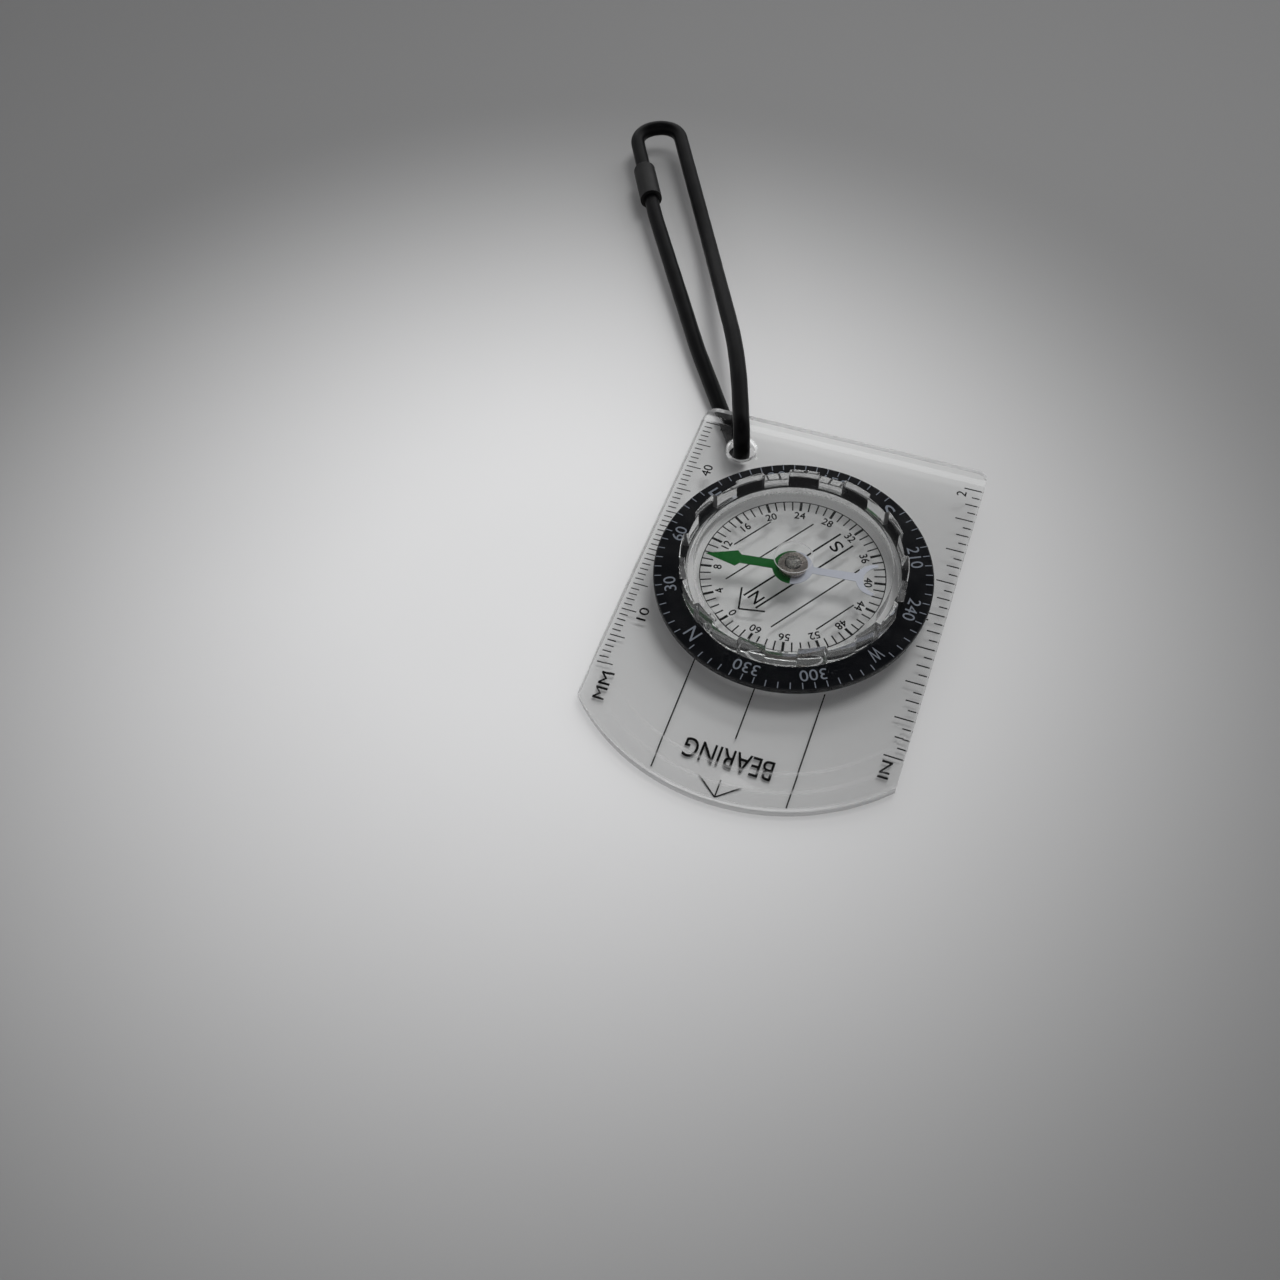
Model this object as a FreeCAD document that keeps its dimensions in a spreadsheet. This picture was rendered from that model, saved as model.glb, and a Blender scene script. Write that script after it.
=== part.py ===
"""Baseplate compass: a clear plate with a turning liquid capsule, a magnetic needle and a neck cord.

Units are millimetres. The origin is on the capsule's turning axis, level with the underside of the
plate. +Z points up, +Y is the plate's direction of travel and +X its millimetre edge.
"""
import FreeCAD, Part
import math
import os

import Sketcher

DRIVING = {
    # plate
    "plate_half_width": 23.75,
    "plate_thick": 2.0,
    "cut_clear": 1.0,
    "plate_end": 30.5,
    "travel_apex": 39.2,
    "travel_arc": 33.0,
    "plate_corner": 2.0,
    "lip_drop": 0.45,
    "lip_sweep": 130.0,
    "travel_slope_out": 2.9,
    "travel_slope_in": 5.5,
    "end_slope_out": 1.9,
    "end_slope_in": 3.5,
    "lanyard_x": 15.5,
    "lanyard_y": -22.8,
    "lanyard_hole": 2.15,
    "lanyard_chamfer": 0.35,
    # seat of the capsule in the plate
    "seat_bore": 16.0,
    "retainer_bore": 17.0,
    "retainer_step": 0.9,
    "running_gap": 0.05,
    # capsule
    "capsule_bottom": 0.2,
    "capsule_cavity": 15.0,
    "cavity_round": 0.8,
    "lens_thick": 1.2,
    "flange_rad": 17.2,
    "flange_bottom": 2.45,
    "flange_top": 4.4,
    "drum_rad": 17.1,
    "drum_top": 7.75,
    "drum_edge": 0.15,
    "grip_count": 12,
    "grip_depth": 0.75,
    "grip_tall": 5.4,
    "grip_floor_half_angle": 6.7,
    "grip_mouth_half_angle": 8.3,
    "dimple_rad": 2.9,
    "dimple_depth": 0.3,
    "floor_thick": 1.2,
    "pivot_boss_rad": 1.2,
    "pivot_boss_tall": 0.6,
    "dial_turn": 55.9,
    # degree ring
    "ring_inner": 17.22,
    "ring_outer": 21.15,
    "ring_bottom": 2.1,
    "ring_seat": 2.4,
    "ring_seat_inner": 16.3,
    "ring_top": 4.25,
    "ring_hub": 18.6,
    "ring_web": 0.65,
    "ring_lip": 1.0,
    "ring_lip_inner": 20.4,
    "ring_edge": 0.15,
    "notch_angle": 111.2,
    "notch_half_angle": 9.1,
    # retaining ring
    "retainer_outer": 16.85,
    "retainer_thick": 0.6,
    # filler plug
    "plug_rad": 0.8,
    "plug_level": 3.35,
    # pivot and needle
    "pin_rad": 0.4,
    "pin_bottom": 0.8,
    "pin_shoulder": 4.0,
    "pin_tip": 4.9,
    "pin_point": 0.03,
    "blade_bottom": 3.3,
    "blade_thick": 0.15,
    "blade_tip": 13.5,
    "barb_back": 8.65,
    "barb_half": 1.45,
    "stem_start": 8.0,
    "stem_half": 0.8,
    "blade_disc": 3.1,
    "blade_bore": 1.5,
    "tail_half": 0.6,
    "fork_neck": 9.65,
    "fork_neck_half": 0.75,
    "fork_reach": 12.5,
    "fork_horn": 0.47,
    "fork_hollow": 2.45,
    "fork_rad": 2.85,
    "needle_turn": 6.9,
    "cap_foot": 3.15,
    "cap_bore": 1.0,
    "cap_rad": 2.1,
    "cap_rim": 2.25,
    "cap_rim_level": 4.75,
    "cap_rim_tall": 0.35,
    "cap_top": 5.75,
    "cap_bevel": 0.1,
    "jewel_bottom": 4.6,
    "jewel_top": 5.2,
    "jewel_mouth": 0.55,
    "jewel_cup": 4.93,
    # neck cord
    "cord_rad": 1.4,
    "cord_heading": 29.0,
    "cord_under": 0.2,
    "cord_top_bend": 3.0,
    "cord_low_bend": 2.2,
    "cord_slack": 90.0,
    "cord_crest": 5.2,
    "cord_spread": 4.4,
    "cord_end_gap": 0.5,
    "loop_reach": 92.0,
    "loop_bend": 4.18,
    "upper_landing": 55.0,
    "upper_slope_start": 18.4,
    "upper_slope_side": 2.9,
    "lower_turn": 27.6,
    "lower_turn_side": 2.6,
    "joiner_start": 70.0,
    "joiner_length": 9.0,
    "joiner_lead": 5.0,
    "joiner_wall": 0.7,
    "joiner_gap": 0.02,
}

doc = FreeCAD.newDocument("BaseplateCompass")
sheet = doc.addObject("Spreadsheet::Sheet", "Sizes")


def fill_sheet():
    """Write every driving dimension as a plain number with an alias."""
    for row, (alias, value) in enumerate(DRIVING.items(), start=1):
        sheet.set(f"A{row}", alias)
        sheet.set(f"B{row}", str(value))
        sheet.setAlias(f"B{row}", alias)
    doc.recompute()


class Size:
    """A number together with the sheet expression that it comes from."""

    def __init__(self, value, text):
        self.value = float(value)
        self.text = text

    def _join(self, other, sign, value):
        right = other.text if isinstance(other, Size) else str(other)
        return Size(value, f"({self.text} {sign} {right})")

    def __add__(self, other):
        return self._join(other, "+", self.value + number(other))

    def __sub__(self, other):
        return self._join(other, "-", self.value - number(other))

    def __mul__(self, other):
        return self._join(other, "*", self.value * number(other))

    def __truediv__(self, other):
        return self._join(other, "/", self.value / number(other))

    def __neg__(self):
        return Size(-self.value, f"(0 - {self.text})")


def number(size):
    """The plain number of a Size or of a number."""
    return size.value if isinstance(size, Size) else float(size)


def dim(alias):
    """The Size held in one cell of the sheet."""
    return Size(sheet.get(alias), f"Sizes.{alias}")


def polar(radius, angle):
    """A point at a radius and an angle in degrees, both of them Sizes."""
    turn = math.radians(angle.value)
    along = Size(radius.value * math.cos(turn), f"{radius.text} * cos({angle.text} * 1 deg)")
    across = Size(radius.value * math.sin(turn), f"{radius.text} * sin({angle.text} * 1 deg)")
    return along, across


def new_body(label):
    """An empty PartDesign body that names one piece."""
    body = doc.addObject("PartDesign::Body", label)
    body.Label = label
    return body


def new_sketch(body, name, role, level=None):
    """A sketch on one of the body's own origin planes, lifted by level along its normal."""
    sketch = body.newObject("Sketcher::SketchObject", name)
    plane = next(feature for feature in body.Origin.OriginFeatures if feature.Role == role)
    sketch.AttachmentSupport = (plane, [""])
    sketch.MapMode = "FlatFace"
    if level is not None:
        lift = FreeCAD.Vector(0, 0, number(level))
        sketch.AttachmentOffset = FreeCAD.Placement(lift, FreeCAD.Rotation())
        sketch.setExpression("AttachmentOffset.Base.z", level.text)
    return sketch


def pin_down(sketch, geometry, end, size, axis):
    """Hold one coordinate of a point at a size measured from the sketch's origin."""
    if not isinstance(size, Size):
        across = -2 if axis == "X" else -1
        sketch.addConstraint(Sketcher.Constraint("PointOnObject", geometry, end, across))
        return
    held = Sketcher.Constraint(f"Distance{axis}", -1, 1, geometry, end, size.value)
    index = sketch.addConstraint(held)
    sketch.setExpression(f"Constraints[{index}]", size.text)


def arc_between(start, finish, radius):
    """The short counter-clockwise arc of a radius that runs from start to finish."""
    middle = (start + finish) * 0.5
    chord = finish - start
    height = math.sqrt(max(radius**2 - (chord.Length / 2) ** 2, 0.0))
    centre = middle + FreeCAD.Vector(-chord.y, chord.x, 0).normalize() * height
    circle = Part.Circle(centre, FreeCAD.Vector(0, 0, 1), radius)
    angles = [math.atan2(point.y - centre.y, point.x - centre.x) for point in (start, finish)]
    return Part.ArcOfCircle(circle, angles[0], angles[1])


def outline(sketch, corners, arcs=None):
    """Draw a closed outline through corners, each a pair of Sizes or 0.

    arcs maps the number of an edge to (radius, turn): turn is 1 where the edge bends
    counter-clockwise along the outline and -1 where it bends clockwise.
    """
    arcs = arcs or {}
    points = [FreeCAD.Vector(number(x), number(y), 0) for x, y in corners]
    count = len(points)
    ends = []
    for edge in range(count):
        start, finish = points[edge], points[(edge + 1) % count]
        if edge not in arcs:
            sketch.addGeometry(Part.LineSegment(start, finish), False)
            ends.append((1, 2))
            continue
        radius, turn = arcs[edge]
        if turn > 0:
            sketch.addGeometry(arc_between(start, finish, number(radius)), False)
            ends.append((1, 2))
        else:
            sketch.addGeometry(arc_between(finish, start, number(radius)), False)
            ends.append((2, 1))
    for edge in range(count):
        follower = (edge + 1) % count
        joined = Sketcher.Constraint("Coincident", edge, ends[edge][1], follower, ends[follower][0])
        sketch.addConstraint(joined)
    for edge, (across, along) in enumerate(corners):
        pin_down(sketch, edge, ends[edge][0], across, "X")
        pin_down(sketch, edge, ends[edge][0], along, "Y")
    for edge, (radius, turn) in arcs.items():
        index = sketch.addConstraint(Sketcher.Constraint("Radius", edge, number(radius)))
        sketch.setExpression(f"Constraints[{index}]", radius.text)


def round_hole(sketch, across, along, radius):
    """Draw a full circle."""
    centre = FreeCAD.Vector(number(across), number(along), 0)
    circle = sketch.addGeometry(Part.Circle(centre, FreeCAD.Vector(0, 0, 1), radius.value), False)
    pin_down(sketch, circle, 3, across, "X")
    pin_down(sketch, circle, 3, along, "Y")
    index = sketch.addConstraint(Sketcher.Constraint("Radius", circle, radius.value))
    sketch.setExpression(f"Constraints[{index}]", radius.text)


def pad(body, sketch, length):
    """Raise a sketch by a length."""
    feature = body.newObject("PartDesign::Pad", f"{sketch.Name}Pad")
    feature.Profile = sketch
    feature.Length = length.value
    feature.setExpression("Length", length.text)
    doc.recompute()
    return feature


def pocket(body, sketch, length, upward=False, through_both=False):
    """Cut a sketch into the body, and make sure that it takes material away."""
    before = body.Shape.Volume
    feature = body.newObject("PartDesign::Pocket", f"{sketch.Name}Pocket")
    feature.Profile = sketch
    feature.Length = length.value
    feature.setExpression("Length", length.text)
    feature.Reversed = upward
    feature.Midplane = through_both
    doc.recompute()
    if body.Shape.Volume >= before:
        raise RuntimeError(f"{feature.Name} cuts nothing")
    return feature


def turned(label, corners, arcs=None):
    """A body of revolution about Z, from an outline of (radius, height) corners."""
    body = new_body(label)
    sketch = new_sketch(body, f"{label}_profile", "XZ_Plane")
    outline(sketch, corners, arcs)
    feature = body.newObject("PartDesign::Revolution", f"{label}_turned")
    feature.Profile = sketch
    feature.ReferenceAxis = (sketch, ["V_Axis"])
    feature.Angle = 360.0
    doc.recompute()
    return body


def pattern_round(body, feature, count):
    """Repeat a feature of the body evenly about Z."""
    repeat = body.newObject("PartDesign::PolarPattern", f"{feature.Name}Pattern")
    axis = next(item for item in body.Origin.OriginFeatures if item.Role == "Z_Axis")
    repeat.Originals = [feature]
    repeat.Axis = (axis, [""])
    repeat.Angle = 360.0
    repeat.Occurrences = int(count.value)
    repeat.setExpression("Occurrences", count.text)
    body.Tip = repeat
    doc.recompute()
    return repeat


def turn_about_z(piece, angle):
    """Turn a whole piece about the capsule's axis, to where it rests."""
    piece.Placement = FreeCAD.Placement(
        FreeCAD.Vector(0, 0, 0), FreeCAD.Rotation(FreeCAD.Vector(0, 0, 1), angle.value)
    )
    piece.setExpression("Placement.Rotation.Angle", f"{angle.text} * 1 deg")


def sector(sketch, inner, outer, inner_half, outer_half, heading=None):
    """Draw a block between two radii whose sides open from inner_half to outer_half degrees."""
    middle = heading or Size(0.0, "0")
    inner_low = polar(inner, middle - inner_half)
    outer_low = polar(outer, middle - outer_half)
    outer_high = polar(outer, middle + outer_half)
    inner_high = polar(inner, middle + inner_half)
    outline(sketch, [inner_low, outer_low, outer_high, inner_high], {3: (inner, -1)})


def make_baseplate():
    """The clear plate: an arc at the travel end, thinned lips at both ends, and two holes."""
    side = dim("plate_half_width")
    end = -dim("plate_end")
    thick = dim("plate_thick")
    corner = dim("plate_corner")
    arc = dim("travel_arc")
    apex = dim("travel_apex")
    arc_centre = apex - arc
    rise = math.sqrt(arc.value**2 - side.value**2)
    shoulder = Size(
        arc_centre.value + rise,
        f"({arc_centre.text} + sqrt({arc.text} ^ 2 - {side.text} ^ 2))",
    )
    body = new_body("baseplate")
    shape = new_sketch(body, "plate_outline", "XY_Plane")
    outline(
        shape,
        [
            (-side, end + corner),
            (-side + corner, end),
            (side - corner, end),
            (side, end + corner),
            (side, shoulder),
            (-side, shoulder),
        ],
        {0: (corner, 1), 2: (corner, 1), 4: (arc, 1)},
    )
    pad(body, shape, thick)
    thin_travel_end(body, arc_centre)
    thin_lanyard_end(body)
    bore_capsule_seat(body)
    bore_lanyard_hole(body)
    return body


def thin_travel_end(body, arc_centre):
    """Groove the top down to a lip that follows the travel end's arc."""
    thick = dim("plate_thick")
    lip = thick - dim("lip_drop")
    above = thick + dim("cut_clear")
    arc = dim("travel_arc")
    clear = arc + dim("cut_clear")
    profile = new_sketch(body, "travel_slope", "YZ_Plane")
    outline(
        profile,
        [
            (arc_centre + arc - dim("travel_slope_in"), thick),
            (arc_centre + arc - dim("travel_slope_out"), lip),
            (arc_centre + clear, lip),
            (arc_centre + clear, above),
            (arc_centre + arc - dim("travel_slope_in"), above),
        ],
    )
    spindle = profile.addGeometry(
        Part.LineSegment(
            FreeCAD.Vector(arc_centre.value, 0, 0), FreeCAD.Vector(arc_centre.value, 1, 0)
        ),
        True,
    )
    profile.addConstraint(Sketcher.Constraint("Vertical", spindle))
    pin_down(profile, spindle, 1, arc_centre, "X")
    before = body.Shape.Volume
    groove = body.newObject("PartDesign::Groove", "travel_lip")
    groove.Profile = profile
    groove.ReferenceAxis = (profile, ["Axis0"])
    groove.Midplane = True
    groove.Angle = dim("lip_sweep").value
    groove.setExpression("Angle", dim("lip_sweep").text)
    doc.recompute()
    if body.Shape.Volume >= before:
        raise RuntimeError("travel_lip cuts nothing")


def thin_lanyard_end(body):
    """Plane the top down to a straight lip at the lanyard end."""
    thick = dim("plate_thick")
    lip = thick - dim("lip_drop")
    clear = dim("cut_clear")
    end = -dim("plate_end")
    profile = new_sketch(body, "end_slope", "YZ_Plane")
    outline(
        profile,
        [
            (end + dim("end_slope_in"), thick),
            (end + dim("end_slope_in"), thick + clear),
            (end - clear, thick + clear),
            (end - clear, lip),
            (end + dim("end_slope_out"), lip),
        ],
    )
    pocket(body, profile, dim("plate_half_width") * 3.0, through_both=True)


def bore_capsule_seat(body):
    """The stepped hole that the capsule turns in."""
    through = new_sketch(body, "seat_bore_circle", "XY_Plane")
    round_hole(through, 0, 0, dim("seat_bore"))
    pocket(body, through, dim("plate_thick") * 3.0, through_both=True)
    step = new_sketch(body, "retainer_circle", "XY_Plane")
    round_hole(step, 0, 0, dim("retainer_bore"))
    pocket(body, step, dim("retainer_step"), upward=True)


def bore_lanyard_hole(body):
    """The cord's hole, with both of its edges eased."""
    circle = new_sketch(body, "lanyard_circle", "XY_Plane")
    radius = dim("lanyard_hole")
    round_hole(circle, dim("lanyard_x"), dim("lanyard_y"), radius)
    drilled = pocket(body, circle, dim("plate_thick") * 3.0, through_both=True)
    rims = []
    for index, edge in enumerate(drilled.Shape.Edges, start=1):
        is_circle = isinstance(edge.Curve, Part.Circle) and edge.Closed
        if is_circle and abs(edge.Curve.Radius - radius.value) < 1e-6:
            rims.append(f"Edge{index}")
    ease = body.newObject("PartDesign::Chamfer", "lanyard_edges")
    ease.Base = (drilled, rims)
    ease.Size = dim("lanyard_chamfer").value
    ease.setExpression("Size", dim("lanyard_chamfer").text)
    body.Tip = ease
    doc.recompute()


def make_capsule_lens():
    """The clear cover: a spigot in the plate, a flange above it, and a castellated drum."""
    bottom = dim("capsule_bottom")
    cavity = dim("capsule_cavity")
    inside_top = dim("drum_top") - dim("lens_thick")
    inside_round = dim("cavity_round")
    spigot = dim("seat_bore") - dim("running_gap")
    flange = dim("flange_rad")
    flange_bottom = dim("flange_bottom")
    flange_top = dim("flange_top")
    drum = dim("drum_rad")
    top = dim("drum_top")
    edge = dim("drum_edge")
    body = turned(
        "capsule_lens",
        [
            (cavity, bottom),
            (spigot, bottom),
            (spigot, flange_bottom),
            (flange, flange_bottom),
            (flange, flange_top),
            (drum, flange_top),
            (drum, top - edge),
            (drum - edge, top),
            (0, top),
            (0, inside_top),
            (cavity - inside_round, inside_top),
            (cavity, inside_top - inside_round),
        ],
        {10: (inside_round, -1)},
    )
    grip = new_sketch(body, "grip_recess", "XY_Plane", top)
    sector(
        grip,
        drum - dim("grip_depth"),
        drum + dim("cut_clear"),
        dim("grip_floor_half_angle"),
        dim("grip_mouth_half_angle"),
    )
    cut = pocket(body, grip, dim("grip_tall"))
    pattern_round(body, cut, dim("grip_count"))
    dimple = new_sketch(body, "dimple_circle", "XY_Plane", top)
    round_hole(dimple, 0, 0, dim("dimple_rad"))
    pocket(body, dimple, dim("dimple_depth"))
    port = new_sketch(body, "filler_port", "YZ_Plane")
    round_hole(port, 0, dim("plug_level"), dim("plug_rad"))
    pocket(body, port, flange + dim("cut_clear"), upward=True)
    turn_about_z(body, dim("dial_turn"))
    return body


def make_dial_floor():
    """The clear floor of the capsule, with the boss that holds the pivot."""
    bottom = dim("capsule_bottom")
    top = bottom + dim("floor_thick")
    boss_top = top + dim("pivot_boss_tall")
    return turned(
        "dial_floor",
        [
            (0, bottom),
            (dim("capsule_cavity"), bottom),
            (dim("capsule_cavity"), top),
            (dim("pivot_boss_rad"), top),
            (dim("pivot_boss_rad"), boss_top),
            (dim("pin_rad"), boss_top),
            (dim("pin_rad"), dim("pin_bottom")),
            (0, dim("pin_bottom")),
        ],
    )


def make_bezel_ring():
    """The black degree ring: a hub with a seat under the capsule's flange, a thin web and a hanging lip."""
    inner = dim("ring_inner")
    outer = dim("ring_outer")
    top = dim("ring_top")
    web = top - dim("ring_web")
    lip = top - dim("ring_lip")
    edge = dim("ring_edge")
    body = turned(
        "bezel_ring",
        [
            (dim("ring_seat_inner"), dim("ring_bottom")),
            (dim("ring_hub"), dim("ring_bottom")),
            (dim("ring_hub"), web),
            (dim("ring_lip_inner"), web),
            (dim("ring_lip_inner"), lip),
            (outer, lip),
            (outer, top - edge),
            (outer - edge, top),
            (inner, top),
            (inner, dim("ring_seat")),
            (dim("ring_seat_inner"), dim("ring_seat")),
        ],
    )
    notch = new_sketch(body, "lip_notch", "XY_Plane", lip)
    half = dim("notch_half_angle")
    clear = outer + dim("cut_clear")
    sector(notch, dim("ring_lip_inner"), clear, half, half, dim("notch_angle"))
    pocket(body, notch, dim("ring_lip") - dim("ring_web"), upward=True)
    turn_about_z(body, dim("dial_turn"))
    return body


def make_retaining_ring():
    """The ring bonded round the capsule's spigot, which keeps it in the plate."""
    bottom = dim("capsule_bottom")
    top = bottom + dim("retainer_thick")
    inner = dim("seat_bore") - dim("running_gap")
    outer = dim("retainer_outer")
    return turned(
        "retaining_ring", [(inner, bottom), (outer, bottom), (outer, top), (inner, top)]
    )


def make_filler_plug():
    """The plug in the filling hole, flush with the floor of a grip recess."""
    plug = doc.addObject("Part::Cylinder", "filler_plug")
    plug.Label = "filler_plug"
    plug.setExpression("Radius", dim("plug_rad").text)
    inner = dim("capsule_cavity") + dim("running_gap")
    outer = dim("drum_rad") - dim("grip_depth") - dim("running_gap")
    length = outer - inner
    plug.setExpression("Height", length.text)
    turn = math.radians(dim("dial_turn").value)
    start = FreeCAD.Vector(
        inner.value * math.cos(turn), inner.value * math.sin(turn), dim("plug_level").value
    )
    outward = FreeCAD.Vector(math.cos(turn), math.sin(turn), 0)
    plug.Placement = FreeCAD.Placement(start, FreeCAD.Rotation(FreeCAD.Vector(0, 0, 1), outward))
    return plug


def make_pivot_pin():
    """The pointed steel pin in the middle of the floor."""
    return turned(
        "pivot_pin",
        [
            (0, dim("pin_bottom")),
            (dim("pin_rad"), dim("pin_bottom")),
            (dim("pin_rad"), dim("pin_shoulder")),
            (dim("pin_point"), dim("pin_tip")),
            (0, dim("pin_tip")),
        ],
    )


def make_needle_blade():
    """The flat needle: an arrow to the north, a ring round the hub and a fork to the south."""
    body = new_body("needle_blade")
    shape = new_sketch(body, "blade_outline", "XY_Plane", dim("blade_bottom"))
    disc = dim("blade_disc")
    stem = dim("stem_half")
    tail = dim("tail_half")
    stem_root = math.sqrt(disc.value**2 - stem.value**2)
    stem_root = Size(stem_root, f"sqrt({disc.text} ^ 2 - {stem.text} ^ 2)")
    tail_root = math.sqrt(disc.value**2 - tail.value**2)
    tail_root = Size(-tail_root, f"(0 - sqrt({disc.text} ^ 2 - {tail.text} ^ 2))")
    neck = -dim("fork_neck")
    reach = -dim("fork_reach")
    horn_out = dim("fork_rad")
    horn = horn_out - dim("fork_horn")
    neck_half = dim("fork_neck_half")
    outline(
        shape,
        [
            (dim("blade_tip"), 0),
            (dim("barb_back"), dim("barb_half")),
            (dim("stem_start"), stem),
            (stem_root, stem),
            (tail_root, tail),
            (neck, neck_half),
            (reach, horn_out),
            (reach, horn),
            (reach, -horn),
            (reach, -horn_out),
            (neck, -neck_half),
            (tail_root, -tail),
            (stem_root, -stem),
            (dim("stem_start"), -stem),
            (dim("barb_back"), -dim("barb_half")),
        ],
        {
            3: (disc, 1),
            5: (dim("fork_rad"), 1),
            7: (dim("fork_hollow"), -1),
            9: (dim("fork_rad"), 1),
            11: (disc, 1),
        },
    )
    pad(body, shape, dim("blade_thick"))
    bore = new_sketch(body, "blade_bore_circle", "XY_Plane", dim("blade_bottom"))
    round_hole(bore, 0, 0, dim("blade_bore"))
    pocket(body, bore, dim("blade_thick") * 4.0, through_both=True)
    turn_about_z(body, dim("needle_turn"))
    return body


def make_hub_cap():
    """The domed cap: its spigot is swaged in the blade, and it holds the bearing."""
    rim_level = dim("cap_rim_level")
    rim_top = rim_level + dim("cap_rim_tall")
    blade_top = dim("blade_bottom") + dim("blade_thick")
    rise = dim("cap_top") - rim_top
    dome = (dim("cap_rad") * dim("cap_rad") + rise * rise) / (rise * 2)
    return turned(
        "hub_cap",
        [
            (dim("cap_bore"), dim("cap_foot")),
            (dim("blade_bore"), dim("cap_foot")),
            (dim("blade_bore"), blade_top),
            (dim("cap_rad"), blade_top),
            (dim("cap_rad"), rim_level),
            (dim("cap_rim"), rim_level),
            (dim("cap_rim"), rim_top - dim("cap_bevel")),
            (dim("cap_rad"), rim_top),
            (0, dim("cap_top")),
            (0, dim("jewel_top")),
            (dim("cap_bore"), dim("jewel_top")),
        ],
        {7: (dome, 1)},
    )


def make_bearing_jewel():
    """The cup bearing that rests on the pin's point."""
    return turned(
        "bearing_jewel",
        [
            (0, dim("jewel_cup")),
            (dim("jewel_mouth"), dim("jewel_bottom")),
            (dim("cap_bore"), dim("jewel_bottom")),
            (dim("cap_bore"), dim("jewel_top")),
            (0, dim("jewel_top")),
        ],
    )


def cord_frame():
    """The lanyard hole, and the directions along and across the two strands."""
    hole = FreeCAD.Vector(dim("lanyard_x").value, dim("lanyard_y").value, 0)
    heading = math.radians(dim("cord_heading").value)
    along = FreeCAD.Vector(math.sin(heading), -math.cos(heading), 0)
    across = FreeCAD.Vector(math.cos(heading), math.sin(heading), 0)
    return hole, along, across


def cord_corners():
    """The cord's middle line as corners (along, across, height, radius), from joiner to joiner."""
    spread = dim("cord_spread").value
    reach = dim("loop_reach").value
    crest = dim("cord_crest").value
    lying = -dim("cord_rad").value - dim("cord_under").value
    slack = dim("cord_slack").value
    loop_bend = dim("loop_bend").value
    joint = dim("joiner_start").value + dim("joiner_length").value / 2
    half_gap = dim("cord_end_gap").value / 2
    lead = dim("joiner_start").value - dim("joiner_lead").value
    upper_start = dim("upper_slope_start").value
    upper_side = dim("upper_slope_side").value
    return [
        (joint + half_gap, spread, lying, 0),
        (reach, spread, lying, loop_bend),
        (reach, -spread, lying, loop_bend),
        (dim("upper_landing").value, -spread, lying, slack),
        (upper_start, -upper_side, crest, slack),
        (0, 0, crest, dim("cord_top_bend").value),
        (0, 0, lying, dim("cord_low_bend").value),
        (dim("lower_turn").value, dim("lower_turn_side").value, lying, slack),
        (lead, spread, lying, slack),
        (joint - half_gap, spread, lying, 0),
    ]


def rounded_path(corners):
    """A wire of lines through corners (point, radius), with a tangent arc at each radius."""
    edges = []
    start = corners[0][0]
    for index in range(1, len(corners) - 1):
        corner, radius = corners[index]
        arriving = (corner - corners[index - 1][0]).normalize()
        leaving = (corners[index + 1][0] - corner).normalize()
        half_turn = arriving.getAngle(leaving) / 2
        tangent = radius * math.tan(half_turn)
        inward = (leaving - arriving).normalize()
        centre = corner + inward * (radius / math.cos(half_turn))
        arc_start = corner - arriving * tangent
        arc_end = corner + leaving * tangent
        edges.append(Part.makeLine(start, arc_start))
        edges.append(Part.Arc(arc_start, centre - inward * radius, arc_end).toShape())
        start = arc_end
    edges.append(Part.makeLine(start, corners[-1][0]))
    return Part.Wire(edges)


def make_neck_cord():
    """The round cord, swept along its middle line."""
    hole, along, across = cord_frame()
    corners = []
    for forward, sideways, height, radius in cord_corners():
        place = hole + along * forward + across * sideways + FreeCAD.Vector(0, 0, height)
        corners.append((place, radius))
    spine = rounded_path(corners)
    circle = Part.Circle(corners[0][0], along, dim("cord_rad").value)
    cord = doc.addObject("Part::Feature", "neck_cord")
    cord.Label = "neck_cord"
    cord.Shape = spine.makePipeShell([Part.Wire([circle.toShape()])], True, False)
    return cord


def make_cord_joiner():
    """The sleeve over the two ends of the cord."""
    hole, along, across = cord_frame()
    inner = dim("cord_rad") + dim("joiner_gap")
    sleeve = doc.addObject("Part::Cylinder", "joiner_outside")
    sleeve.setExpression("Radius", (inner + dim("joiner_wall")).text)
    sleeve.setExpression("Height", dim("joiner_length").text)
    bore = doc.addObject("Part::Cylinder", "joiner_bore")
    bore.setExpression("Radius", inner.text)
    bore.setExpression("Height", dim("joiner_length").text)
    joiner = doc.addObject("Part::Cut", "cord_joiner")
    joiner.Label = "cord_joiner"
    joiner.Base = sleeve
    joiner.Tool = bore
    lying = -dim("cord_rad").value - dim("cord_under").value
    start = hole + along * dim("joiner_start").value + across * dim("cord_spread").value
    start.z = lying
    joiner.Placement = FreeCAD.Placement(start, FreeCAD.Rotation(FreeCAD.Vector(0, 0, 1), along))
    return joiner


def check_and_export(pieces):
    """Stop on any failed object, then write one STEP file for each piece."""
    doc.recompute()
    for item in doc.Objects:
        if "Invalid" in item.State or "Error" in item.State:
            raise RuntimeError(f"{item.Name} failed: {item.State}")
    for piece in pieces:
        if piece.Shape.isNull() or not piece.Shape.isValid():
            raise RuntimeError(f"{piece.Label} has no valid shape")
        if len(piece.Shape.Solids) != 1:
            raise RuntimeError(f"{piece.Label} holds {len(piece.Shape.Solids)} solids")
    os.makedirs("parts", exist_ok=True)
    for piece in pieces:
        piece.Shape.exportStep(f"parts/{piece.Label}.step")
        print(piece.Label, round(piece.Shape.Volume, 2))


fill_sheet()
check_and_export(
    [
        make_baseplate(),
        make_capsule_lens(),
        make_dial_floor(),
        make_bezel_ring(),
        make_retaining_ring(),
        make_filler_plug(),
        make_pivot_pin(),
        make_needle_blade(),
        make_hub_cap(),
        make_bearing_jewel(),
        make_neck_cord(),
        make_cord_joiner(),
    ]
)
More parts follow.
